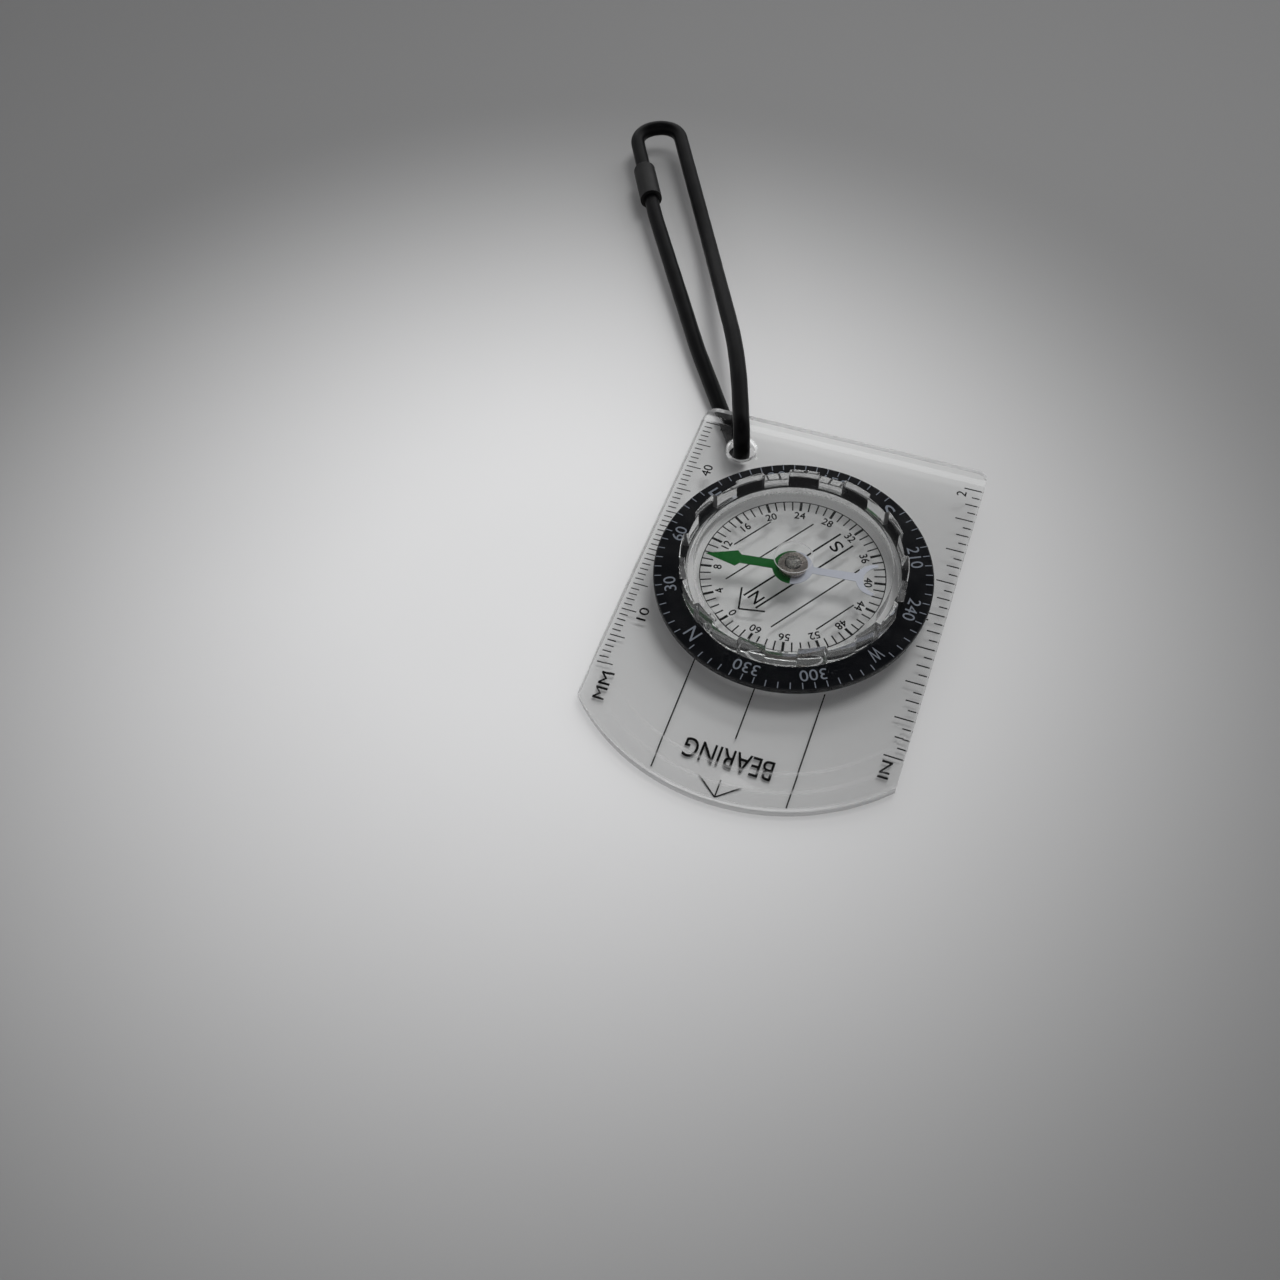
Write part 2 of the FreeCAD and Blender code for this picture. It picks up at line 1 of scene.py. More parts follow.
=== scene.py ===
"""Looks of the baseplate compass: plastics, prints, needle, cord, light and camera.

Lengths are written in millimetres in the CAD model's frame and turned into metres by MM.
"""

import math

import bmesh
import bpy
from mathutils import Matrix, Vector


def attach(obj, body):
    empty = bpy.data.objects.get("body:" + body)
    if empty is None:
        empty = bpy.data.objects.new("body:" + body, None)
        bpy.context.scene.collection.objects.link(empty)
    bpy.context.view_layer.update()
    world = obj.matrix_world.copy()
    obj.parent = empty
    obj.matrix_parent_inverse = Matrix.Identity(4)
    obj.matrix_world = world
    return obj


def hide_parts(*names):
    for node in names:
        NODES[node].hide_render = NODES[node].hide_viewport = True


MM = 0.001

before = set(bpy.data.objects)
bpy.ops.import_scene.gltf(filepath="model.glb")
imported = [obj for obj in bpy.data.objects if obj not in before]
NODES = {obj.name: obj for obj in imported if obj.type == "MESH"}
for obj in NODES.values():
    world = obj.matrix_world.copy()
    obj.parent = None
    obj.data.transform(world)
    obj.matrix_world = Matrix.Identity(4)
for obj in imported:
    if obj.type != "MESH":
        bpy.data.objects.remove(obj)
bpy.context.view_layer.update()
scene = bpy.context.scene


# ---------------------------------------------------------------- node graphs


class Graph:
    """A material's node tree, filled in one node at a time."""

    def __init__(self, name):
        self.material = bpy.data.materials.new(name)
        self.material.use_nodes = True
        self.tree = self.material.node_tree
        self.tree.nodes.clear()

    def add(self, kind, values=None, **settings):
        """Add a node; values maps an input's name or number to a socket or a constant."""
        node = self.tree.nodes.new(kind)
        for key, value in settings.items():
            setattr(node, key, value)
        for key, value in (values or {}).items():
            socket = node.inputs[key]
            if isinstance(value, bpy.types.NodeSocket):
                self.tree.links.new(value, socket)
            else:
                socket.default_value = value
        return node

    def math(self, operation, *values, clamp=False):
        """One arithmetic step on numbers or sockets."""
        node = self.add("ShaderNodeMath", dict(enumerate(values)), operation=operation)
        node.use_clamp = clamp
        return node.outputs[0]

    def place_mm(self):
        """The point being shaded, in millimetres of the object's own frame."""
        place = self.add("ShaderNodeTexCoord").outputs["Object"]
        scaled = self.add("ShaderNodeVectorMath", {0: place, "Scale": 1 / MM}, operation="SCALE")
        return scaled.outputs[0]

    def split(self, vector):
        """The three numbers of a vector."""
        return self.add("ShaderNodeSeparateXYZ", {0: vector}).outputs

    def radius(self, across, along):
        """The distance from the dial's axis."""
        squares = self.math(
            "ADD", self.math("MULTIPLY", across, across), self.math("MULTIPLY", along, along)
        )
        return self.math("SQRT", squares)

    def noise(self, place, scale, detail=2.0, roughness=0.5, stretch=None):
        """A noise value from 0 to 1; scale is in waves for each millimetre."""
        if stretch:
            place = self.add(
                "ShaderNodeVectorMath", {0: place, 1: stretch}, operation="MULTIPLY"
            ).outputs[0]
        node = self.add(
            "ShaderNodeTexNoise",
            {"Vector": place, "Scale": scale, "Detail": detail, "Roughness": roughness},
        )
        return node.outputs["Fac"]

    def between(self, value, low, high, new_low=0.0, new_high=1.0):
        """Stretch a value's range low..high to new_low..new_high, held at both ends."""
        node = self.add(
            "ShaderNodeMapRange", {0: value, 1: low, 2: high, 3: new_low, 4: new_high}
        )
        return node.outputs[0]

    def blend(self, factor, first, second):
        """Mix two colours."""
        node = self.add("ShaderNodeMix", {0: factor, 6: first, 7: second}, data_type="RGBA")
        return node.outputs[2]

    def eased(self, radius_mm):
        """The surface's normal with its edges rounded over to a radius."""
        return self.add("ShaderNodeBevel", {"Radius": radius_mm * MM}, samples=4).outputs[0]

    def upright(self):
        """1 on walls that stand upright, 0 on level faces."""
        normal = self.add("ShaderNodeNewGeometry").outputs["True Normal"]
        lean = self.math("ABSOLUTE", self.split(normal)[2])
        return self.math("LESS_THAN", lean, 0.5)

    def bump(self, height, strength, distance_mm, normal=None):
        """A normal bent by a height."""
        values = {"Height": height, "Strength": strength, "Distance": distance_mm * MM}
        if normal is not None:
            values["Normal"] = normal
        return self.add("ShaderNodeBump", values).outputs[0]

    def finish(self, shader):
        """Send a shader to the surface output and return the material."""
        self.add("ShaderNodeOutputMaterial", {0: shader})
        return self.material


def colour(red, green, blue):
    """An opaque colour as Blender wants it."""
    return (red, green, blue, 1.0)


CLEAR_IOR = 1.49
LIQUID_IOR = 1.47

# how far from a named radius or level a face still counts as lying on it
SKIN = 0.06

# faces of the capsule that touch its liquid, its floor or the black ring
CAVITY_RADIUS = 15.0
CAVITY_FLOOR = 1.4
CAVITY_TOP = 6.55
FLANGE_RADIUS = 17.2
RING_TOP = 4.25

# painted white on the capsule: a painted highlight ring at the dimple's rim, and frost on the
# walls outside the cavity that is partly a frosted finish and partly painted highlight
DIMPLE_RADIUS = 2.9
RIM_PAINTED_HIGHLIGHT = 0.6
FROST_AND_HIGHLIGHT_MARGIN = 1.1

# painted highlight lines where the plate's travel lip slopes: (radius, half width, whiteness)
# about one centre
LIP_CENTRE = 6.2
LIP_START = 16.0
LIP_LEVEL = 1.0
LIP_HIGHLIGHT_LINES = ((27.5, 0.45, 0.36), (30.1, 0.55, 0.36), (32.8, 0.40, 0.85))
# how the painted highlight lines fade across the plate: (across from, across to, strength at the
# first, strength at the second)
LIP_HIGHLIGHT_FADES = ((6.0, 17.0, 1.0, 0.12), (-19.0, -13.0, 0.25, 1.0))

# white for the frost on upright walls and for the painted highlights
FROST_AND_HIGHLIGHT_WHITE = colour(0.92, 0.92, 0.92)
EDGE_SHADE = colour(0.30, 0.30, 0.30)


def wet_ior(graph, radius, level):
    """The bending of light at a capsule face: less where the face touches the liquid."""
    inside = graph.math("LESS_THAN", radius, CAVITY_RADIUS + SKIN)
    above = graph.math("GREATER_THAN", level, CAVITY_FLOOR - SKIN)
    below = graph.math("LESS_THAN", level, CAVITY_TOP + SKIN)
    wet = graph.math("MULTIPLY", graph.math("MULTIPLY", inside, above), below)
    return graph.between(wet, 0.0, 1.0, CLEAR_IOR, CLEAR_IOR / LIQUID_IOR)


def bonded_faces(graph, radius, level):
    """1 on the faces where the capsule is joined to its floor or sits in the ring."""
    floor_wall = graph.math("COMPARE", radius, CAVITY_RADIUS, SKIN)
    under_floor = graph.math("LESS_THAN", level, CAVITY_FLOOR - SKIN)
    ring_wall = graph.math("COMPARE", radius, FLANGE_RADIUS, SKIN)
    under_ring = graph.math("LESS_THAN", level, RING_TOP)
    return graph.math(
        "MAXIMUM",
        graph.math("MULTIPLY", floor_wall, under_floor),
        graph.math("MULTIPLY", ring_wall, under_ring),
    )


def whiten_capsule(graph, frost_and_painted_highlight, radius, level):
    """Keep the frosting, partly a frosted finish and partly painted highlight, to the outer
    walls, and add a painted highlight ring at the dimple's rim.
    """
    # painted highlight: a white ring on the top face at the dimple's rim
    rim = graph.math(
        "MULTIPLY",
        graph.math("COMPARE", radius, DIMPLE_RADIUS, 2 * SKIN),
        graph.math("GREATER_THAN", level, CAVITY_TOP + SKIN),
    )
    outside = graph.math("GREATER_THAN", radius, CAVITY_RADIUS + FROST_AND_HIGHLIGHT_MARGIN)
    frost_and_painted_highlight = graph.math("MULTIPLY", frost_and_painted_highlight, outside)
    return graph.math("MAXIMUM", frost_and_painted_highlight, graph.math("MULTIPLY", rim, RIM_PAINTED_HIGHLIGHT))


def whiten_lip(graph, frost_and_painted_highlight, across, along, level):
    """Add painted highlight lines along the slopes of the plate's travel lip, fainter towards
    both sides.
    """
    reach = graph.radius(across, graph.math("SUBTRACT", along, LIP_CENTRE))
    ahead = graph.math("GREATER_THAN", along, LIP_START)
    ahead = graph.math("MULTIPLY", ahead, graph.math("GREATER_THAN", level, LIP_LEVEL))
    for fade in LIP_HIGHLIGHT_FADES:
        ahead = graph.math("MULTIPLY", ahead, graph.between(across, *fade))
    # each line is a painted highlight along a slope's edge
    for lip_radius, half_width, sheen in LIP_HIGHLIGHT_LINES:
        apart = graph.math("ABSOLUTE", graph.math("SUBTRACT", reach, lip_radius))
        line = graph.between(apart, 0.0, half_width, sheen, 0.0)
        frost_and_painted_highlight = graph.math("MAXIMUM", frost_and_painted_highlight, graph.math("MULTIPLY", line, ahead))
    return frost_and_painted_highlight


def make_clear(name, tint, shade, haze, ease, wall_frost_and_highlight, capsule=False):
    """Clear plastic with faint scuffs, eased edges and slightly frosted upright walls, the frost
    partly a frosted finish and partly painted highlight, plus painted highlight lines and rings.

    Its shadow is a soft grey, with no traced caustics.
    """
    graph = Graph(name)
    place = graph.place_mm()
    across, along, level = graph.split(place)[:3]
    radius = graph.radius(across, along)
    flow = graph.noise(place, 0.11, 1.0)
    scuffs = graph.noise(place, 1.4, 4.0, 0.65, stretch=(0.35, 2.2, 1.0))
    worn = graph.between(scuffs, 0.60, 0.78)
    height = graph.math("ADD", flow, graph.math("MULTIPLY", scuffs, 0.02))
    values = {
        "Base Color": tint,
        "Roughness": graph.math("MULTIPLY_ADD", worn, 0.10, haze),
        "IOR": wet_ior(graph, radius, level) if capsule else CLEAR_IOR,
        "Transmission Weight": 1.0,
        "Normal": graph.bump(height, 0.10, 0.10, graph.eased(ease)),
    }
    body = graph.add("ShaderNodeBsdfPrincipled", values).outputs[0]
    # frost on upright walls: partly a frosted finish, partly painted highlight on the edges
    frost_and_painted_highlight = graph.math("MULTIPLY", graph.upright(), wall_frost_and_highlight)
    if capsule:
        frost_and_painted_highlight = whiten_capsule(graph, frost_and_painted_highlight, radius, level)
    else:
        frost_and_painted_highlight = whiten_lip(graph, frost_and_painted_highlight, across, along, level)
    # a white diffuse and translucent shader, mixed in for the frost and the painted highlights
    lit = graph.add("ShaderNodeBsdfDiffuse", {0: FROST_AND_HIGHLIGHT_WHITE}).outputs[0]
    glow = graph.add("ShaderNodeBsdfTranslucent", {0: FROST_AND_HIGHLIGHT_WHITE}).outputs[0]
    frost_and_highlight_white = graph.add("ShaderNodeMixShader", {0: 0.5, 1: lit, 2: glow}).outputs[0]
    body = graph.add("ShaderNodeMixShader", {0: frost_and_painted_highlight, 1: body, 2: frost_and_highlight_white}).outputs[0]
    facing = graph.add("ShaderNodeLayerWeight", {"Blend": 0.25}).outputs["Facing"]
    passed = graph.blend(graph.math("POWER", facing, 3.0), shade, EDGE_SHADE)
    through = graph.add("ShaderNodeBsdfTransparent", {0: passed}).outputs[0]
    rays = graph.add("ShaderNodeLightPath").outputs
    soft = graph.math("MAXIMUM", rays["Is Shadow Ray"], rays["Is Diffuse Ray"])
    mixed = graph.add("ShaderNodeMixShader", {0: soft, 1: body, 2: through}).outputs[0]
    if capsule:
        bonded = bonded_faces(graph, radius, level)
        unseen = graph.add("ShaderNodeBsdfTransparent").outputs[0]
        mixed = graph.add("ShaderNodeMixShader", {0: bonded, 1: mixed, 2: unseen}).outputs[0]
    return graph.finish(mixed)


def make_moulded_black(name, base, roughness, grain, shine=0.5, edge_radius=0.12):
    """Black moulded plastic with a fine grain, a little dust and eased edges."""
    graph = Graph(name)
    place = graph.place_mm()
    fine = graph.noise(place, grain, 3.0, 0.6)
    broad = graph.noise(place, 0.25, 2.0)
    dust = graph.between(graph.noise(place, 3.1, 5.0, 0.7), 0.62, 0.80, 0.0, 0.35)
    light = tuple(min(1.0, 3.5 * part + 0.010) for part in base[:3]) + (1.0,)
    values = {
        "Base Color": graph.blend(dust, base, light),
        "Roughness": graph.between(broad, 0.3, 0.7, roughness - 0.06, roughness + 0.08),
        "IOR": 1.50,
        "Specular IOR Level": shine,
        "Normal": graph.bump(fine, 0.25, 0.02, graph.eased(edge_radius)),
    }
    return graph.finish(graph.add("ShaderNodeBsdfPrincipled", values).outputs[0])


def make_ink(name, base, roughness=0.45):
    """Screen-printed ink, a little uneven in cover."""
    graph = Graph(name)
    place = graph.place_mm()
    cover = graph.noise(place, 6.0, 4.0, 0.7)
    thin = tuple(0.75 * part + 0.02 for part in base[:3]) + (1.0,)
    values = {
        "Base Color": graph.blend(graph.between(cover, 0.45, 0.75), base, thin),
        "Roughness": roughness,
        "Specular IOR Level": 0.15,
        "Normal": graph.bump(cover, 0.2, 0.01),
    }
    return graph.finish(graph.add("ShaderNodeBsdfPrincipled", values).outputs[0])


# the turn of the needle's north end from +X
NEEDLE_HEADING = math.radians(6.9)


def make_needle_paint():
    """Green paint on the north half of the needle and pale paint on the south half."""
    graph = Graph("needle_paint")
    place = graph.place_mm()
    tip = (math.cos(NEEDLE_HEADING), math.sin(NEEDLE_HEADING), 0.0)
    dot = graph.add("ShaderNodeVectorMath", {0: place, 1: tip}, operation="DOT_PRODUCT")
    along = dot.outputs["Value"]
    grain = graph.noise(place, 4.0, 3.0, 0.6)
    border = graph.math("MULTIPLY_ADD", grain, 0.12, along)
    north = graph.math("GREATER_THAN", border, 0.05)
    green = graph.blend(grain, colour(0.001, 0.075, 0.009), colour(0.003, 0.100, 0.014))
    pale = graph.blend(grain, colour(0.44, 0.46, 0.52), colour(0.52, 0.54, 0.60))
    values = {
        "Base Color": graph.blend(north, pale, green),
        "Roughness": graph.between(grain, 0.3, 0.7, 0.30, 0.42),
        "Specular IOR Level": 0.25,
        "Normal": graph.bump(grain, 0.15, 0.02),
    }
    return graph.finish(graph.add("ShaderNodeBsdfPrincipled", values).outputs[0])


# fine rings of a turned surface, in radians for each millimetre
LATHE_PITCH = 55.0


def make_metal(name, base, roughness, turning=0.0, cup=None):
    """Plated or ground metal.

    The turning adds a lathe's fine rings, and the cup a greyer middle of that radius, ringed by a
    groove coloured near-black as painted shade.
    """
    graph = Graph(name)
    place = graph.place_mm()
    across, along = graph.split(place)[:2]
    radius = graph.radius(across, along)
    rings = graph.math("SINE", graph.math("MULTIPLY", radius, LATHE_PITCH))
    cloud = graph.noise(place, 1.6, 4.0, 0.6)
    height = graph.math("MULTIPLY_ADD", rings, turning, graph.math("MULTIPLY", cloud, 0.5))
    dull = tuple(0.55 * part for part in base[:3]) + (1.0,)
    face = graph.blend(graph.between(cloud, 0.45, 0.75), base, dull)
    if cup:
        middle = graph.math("LESS_THAN", radius, cup)
        # painted shade: the groove is coloured near-black
        groove_painted_shade = graph.math("COMPARE", radius, cup + 0.06, 0.07)
        face = graph.blend(middle, face, colour(0.27, 0.265, 0.25))
        face = graph.blend(groove_painted_shade, face, colour(0.02, 0.02, 0.02))
        height = graph.math("SUBTRACT", height, graph.math("MULTIPLY", groove_painted_shade, 2.0))
    values = {
        "Base Color": face,
        "Metallic": 1.0,
        "Roughness": graph.between(cloud, 0.3, 0.7, roughness, roughness + 0.14),
        "Normal": graph.bump(height, 0.25, 0.02),
    }
    return graph.finish(graph.add("ShaderNodeBsdfPrincipled", values).outputs[0])


def make_jewel():
    """The bearing's polished glass."""
    graph = Graph("jewel_glass")
    place = graph.place_mm()
    cloud = graph.noise(place, 2.0, 2.0)
    values = {
        "Base Color": graph.blend(cloud, colour(0.80, 0.84, 0.88), colour(0.92, 0.94, 0.96)),
        "Roughness": graph.between(cloud, 0.3, 0.7, 0.02, 0.08),
        "IOR": 1.25,
        "Transmission Weight": 1.0,
    }
    return graph.finish(graph.add("ShaderNodeBsdfPrincipled", values).outputs[0])


def make_cord_rubber():
    """Smooth black cord: a satin skin with faint drawn lines and a trace of lint."""
    graph = Graph("cord_rubber")
    place = graph.place_mm()
    skin = graph.noise(place, 2.2, 4.0, 0.6)
    lint = graph.between(graph.noise(place, 5.0, 4.0, 0.7), 0.66, 0.80, 0.0, 0.25)
    values = {
        "Base Color": graph.blend(lint, colour(0.0020, 0.0020, 0.0023), colour(0.02, 0.02, 0.02)),
        "Roughness": graph.between(skin, 0.3, 0.7, 0.30, 0.42),
        "Specular IOR Level": 0.07,
        "Normal": graph.bump(skin, 0.3, 0.03),
    }
    return graph.finish(graph.add("ShaderNodeBsdfPrincipled", values).outputs[0])


# painted fall-off of light on the floor: pale round a middle point, greyer further out, standing
# in for a pool of light
FLOOR_PAINTED_POOL_MIDDLE = (37.0, -26.0, 0.0)
FLOOR_PAINTED_POOL_REACH = 20.0
FLOOR_PAINTED_FALLOFF_REACH = 140.0
FLOOR_PAINTED_FALLOFF_GREY = colour(0.24, 0.24, 0.24)


def make_floor_paint():
    """Pale table top with a barely seen grain and a painted fall-off of light: pale round its
    middle, greyer away from it.
    """
    graph = Graph("floor_paint")
    place = graph.place_mm()
    cloud = graph.noise(place, 0.02, 3.0)
    pale = graph.blend(cloud, colour(0.84, 0.84, 0.84), colour(0.88, 0.88, 0.88))
    away = graph.add("ShaderNodeVectorMath", {0: place, 1: FLOOR_PAINTED_POOL_MIDDLE}, operation="DISTANCE")
    # painted fall-off of light: greyer with distance from the middle
    shade = graph.add(
        "ShaderNodeMapRange",
        {0: away.outputs["Value"], 1: FLOOR_PAINTED_POOL_REACH, 2: FLOOR_PAINTED_FALLOFF_REACH, 3: 0.0, 4: 1.0},
        interpolation_type="SMOOTHSTEP",
    )
    values = {
        "Base Color": graph.blend(shade.outputs[0], pale, FLOOR_PAINTED_FALLOFF_GREY),
        "Roughness": 0.9,
        "Specular IOR Level": 0.1,
    }
    return graph.finish(graph.add("ShaderNodeBsdfPrincipled", values).outputs[0])


def dress(node, material):
    """Give a CAD node a finished material."""
    for slot in NODES[node].material_slots:
        slot.material = material


plate_clear = make_clear(
    "plate_acrylic",
    tint=colour(0.985, 0.99, 0.985),
    shade=colour(0.83, 0.83, 0.83),
    haze=0.015,
    ease=0.30,
    wall_frost_and_highlight=0.45,
)
capsule_clear = make_clear(
    "capsule_plastic",
    tint=colour(0.975, 0.98, 0.975),
    shade=colour(0.94, 0.94, 0.94),
    haze=0.012,
    ease=0.12,
    wall_frost_and_highlight=0.07,
    capsule=True,
)
ring_black = make_moulded_black("ring_plastic", colour(0.0022, 0.0026, 0.0036), 0.20, 9.0, 0.30)
joiner_black = make_moulded_black("joiner_plastic", colour(0.005, 0.005, 0.005), 0.45, 6.0, 0.2)
hub_metal = make_metal("hub_metal", colour(0.52, 0.475, 0.44), 0.20, turning=1.0, cup=1.15)

dress("baseplate", plate_clear)
for clear_node in ("capsule_lens", "dial_floor", "retaining_ring", "filler_plug"):
    dress(clear_node, capsule_clear)
dress("bezel_ring", ring_black)
dress("pivot_pin", make_metal("pin_steel", colour(0.60, 0.60, 0.62), 0.25))
dress("needle_blade", make_needle_paint())
dress("hub_cap", hub_metal)
dress("bearing_jewel", make_jewel())
dress("cord_joiner", joiner_black)

black_ink = make_ink("black_ink", colour(0.006, 0.006, 0.006))
pale_ink = make_ink("pale_ink", colour(0.155, 0.172, 0.20))


# --------------------------------------------------------------------- prints


# side steps of a letter printed again, in units of its weight, each from the one before
STRIKES = ((1, 0), (-2, 0), (1, 1), (0, -2))


class Print:
    """A layer of ink: thin closed shapes that lie between two heights."""

    def __init__(self, name, low, high):
        self.name = name
        self.low = low
        self.high = high
        self.shapes = bmesh.new()

    def outline(self, corners):
        """A closed shape with these (x, y) corners, counter-clockwise seen from above."""
        lower = [self.shapes.verts.new((x * MM, y * MM, self.low * MM)) for x, y in corners]
        upper = [self.shapes.verts.new((x * MM, y * MM, self.high * MM)) for x, y in corners]
        self.shapes.faces.new(list(reversed(lower)))
        self.shapes.faces.new(upper)
        for index in range(len(corners)):
            after = (index + 1) % len(corners)
            self.shapes.faces.new((lower[index], lower[after], upper[after], upper[index]))

    def stroke(self, start, finish, width):
        """A straight line of ink."""
        start, finish = Vector(start), Vector(finish)
        along = (finish - start).normalized()
        aside = Vector((-along.y, along.x)) * (width / 2)
        self.outline([start - aside, finish - aside, finish + aside, start + aside])

    def circle(self, radius, width, steps=256):
        """A ring of ink about the dial's axis."""
        rims = []
        for reach in (radius - width / 2, radius + width / 2):
            for level in (self.low, self.high):
                rim = []
                for step in range(steps):
                    turn = 2 * math.pi * step / steps
                    place = (reach * math.cos(turn) * MM, reach * math.sin(turn) * MM, level * MM)
                    rim.append(self.shapes.verts.new(place))
                rims.append(rim)
        inner_low, inner_high, outer_low, outer_high = rims
        for step in range(steps):
            after = (step + 1) % steps
            for first, second in (
                (inner_high, outer_high),
                (outer_high, outer_low),
                (outer_low, inner_low),
                (inner_low, inner_high),
            ):
                self.shapes.faces.new((first[step], second[step], second[after], first[after]))

    def word(self, text, centre, height, turn, width=None, weight=0.0):
        """Lettering: turn is the reading direction in degrees from +X; width fits the whole word.

        The weight, in millimetres, thickens every stroke by printing it again beside itself.
        """
        curve = bpy.data.curves.new("lettering", "FONT")
        curve.body = text
        curve.fill_mode = "BOTH"
        curve.extrude = 0.1
        curve.resolution_u = 4
        holder = bpy.data.objects.new("lettering", curve)
        scene.collection.objects.link(holder)
        graph = bpy.context.evaluated_depsgraph_get()
        mesh = bpy.data.meshes.new_from_object(holder.evaluated_get(graph))
        bpy.data.objects.remove(holder)
        low = Vector([min(vertex.co[axis] for vertex in mesh.vertices) for axis in range(3)])
        high = Vector([max(vertex.co[axis] for vertex in mesh.vertices) for axis in range(3)])
        size = high - low
        tall = height * MM / size.y
        wide = width * MM / size.x if width else tall
        thick = (self.high - self.low) * MM / size.z
        middle = Vector((centre[0] * MM, centre[1] * MM, (self.low + self.high) / 2 * MM))
        mesh.transform(
            Matrix.Translation(middle)
            @ Matrix.Rotation(math.radians(turn), 4, "Z")
            @ Matrix.Diagonal((wide, tall, thick, 1.0))
            @ Matrix.Translation(-(low + high) / 2)
        )
        self.shapes.from_mesh(mesh)
        for aside, ahead in STRIKES if weight else ():
            mesh.transform(Matrix.Translation((aside * weight * MM, ahead * weight * MM, 0.0)))
            self.shapes.from_mesh(mesh)
        bpy.data.meshes.remove(mesh)

    def done(self, body, material, slot):
        """Turn the ink into one piece that rides on a body."""
        bmesh.ops.remove_doubles(self.shapes, verts=self.shapes.verts, dist=1e-7)
        mesh = bpy.data.meshes.new(self.name)
        self.shapes.to_mesh(mesh)
        self.shapes.free()
        mesh.materials.append(material)
        piece = bpy.data.objects.new(self.name, mesh)
        scene.collection.objects.link(piece)
        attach(piece, body)


# ink's thickness, the level of its upper face under the plate and the dial, and of its lower
# face on the ring
INK = 0.02
PLATE_INK_TOP = -0.01
RING_INK_LOW = RING_TOP + 0.003
DIAL_INK_TOP = 0.19
LINE_WIDTH = 0.20
TARGET_WIDTH = 0.16


def print_direction_lines():
    """The travel lines, the direction arrow and its word."""
    ink = Print("direction_print", PLATE_INK_TOP - INK, PLATE_INK_TOP)
    for across, reach in ((9.6, 36.45), (-0.35, 28.5), (-10.3, 36.5)):
        ink.stroke((across, 17.3), (across, reach), LINE_WIDTH)
    ink.stroke((-10.3, 37.15), (-10.3, 37.35), LINE_WIDTH)
    apex = Vector((-0.44, 38.1))
    for foot in ((2.73, 35.5), (-3.55, 35.55), (-0.42, 35.2)):
        ink.stroke(foot, apex, LINE_WIDTH)
    ink.stroke((-0.95, 38.75), (-0.05, 38.75), TARGET_WIDTH)
    ink.stroke((-0.5, 38.45), (-0.5, 39.0), TARGET_WIDTH)
    ink.word("BEARING", (-0.35, 31.8), 3.0, 0.0, width=13.1, weight=0.015)
    ink.done("plate", black_ink, "plate_acrylic")


def print_millimetre_scale():
    """Fifty millimetres along the +X edge."""
    ink = Print("millimetre_scale_print", PLATE_INK_TOP - INK, PLATE_INK_TOP)
    outside = 23.2
    zero = 22.5
    for count in range(51):
        reach = 2.4 if count % 5 == 0 else 1.35
        level = zero - count
        ink.stroke((outside - reach, level), (outside, level), 0.18)
        if count % 10 == 0 and count:
            ink.word(str(count), (19.7, level), 1.5, -90.0, width=2.3, weight=0.02)
    ink.word("MM", (20.85, 26.2), 1.8, -90.0, width=4.7, weight=0.02)
    ink.done("plate", black_ink, "plate_acrylic")


def print_inch_scale():
    """Two inches in sixteenths along the -X edge."""
    ink = Print("inch_scale_print", PLATE_INK_TOP - INK, PLATE_INK_TOP)
    outside = -23.47
    zero = 24.03
    inch = 25.4
    for count in range(33):
        reach = 2.8 if count % 4 == 0 else 1.95 if count % 2 == 0 else 1.25
        level = zero - count * inch / 16
        ink.stroke((outside, level), (outside + reach, level), 0.22)
    for count in (1, 2):
        ink.word(str(count), (-20.5, zero - count * inch + 1.27), 1.5, -90.0, weight=0.02)
    ink.word("IN", (-21.55, 26.3), 1.5, -90.0, width=2.9, weight=0.02)
    ink.done("plate", black_ink, "plate_acrylic")


# the turn of the dial's north mark from +X, in degrees
NORTH = 55.9


def about_axis(radius, turn):
    """A point at a radius and a turn in degrees."""
    return Vector((radius * math.cos(math.radians(turn)), radius * math.sin(math.radians(turn))))


def print_ring():
    """Degrees on the ring: a line every five, and a label every thirty."""
    ink = Print("ring_print", RING_INK_LOW, RING_INK_LOW + INK)
    labels = {0: "N", 90: "E", 180: "S", 270: "W"}
    for bearing in range(0, 360, 5):
        turn = NORTH - bearing
        if bearing % 90:
            ink.stroke(about_axis(19.92, turn), about_axis(20.95, turn), 0.15)
        if bearing % 30 == 0:
            word = labels.get(bearing, str(bearing))
            height = 2.3 if bearing in labels else 1.85
            radius = 18.85 if bearing in labels else 18.70
            width = 1.85 if bearing in labels else 1.31 * len(word)
            ink.word(word, about_axis(radius, turn), height, turn - 90.0, width=width)
    ink.done("dial", pale_ink, "ring_plastic")


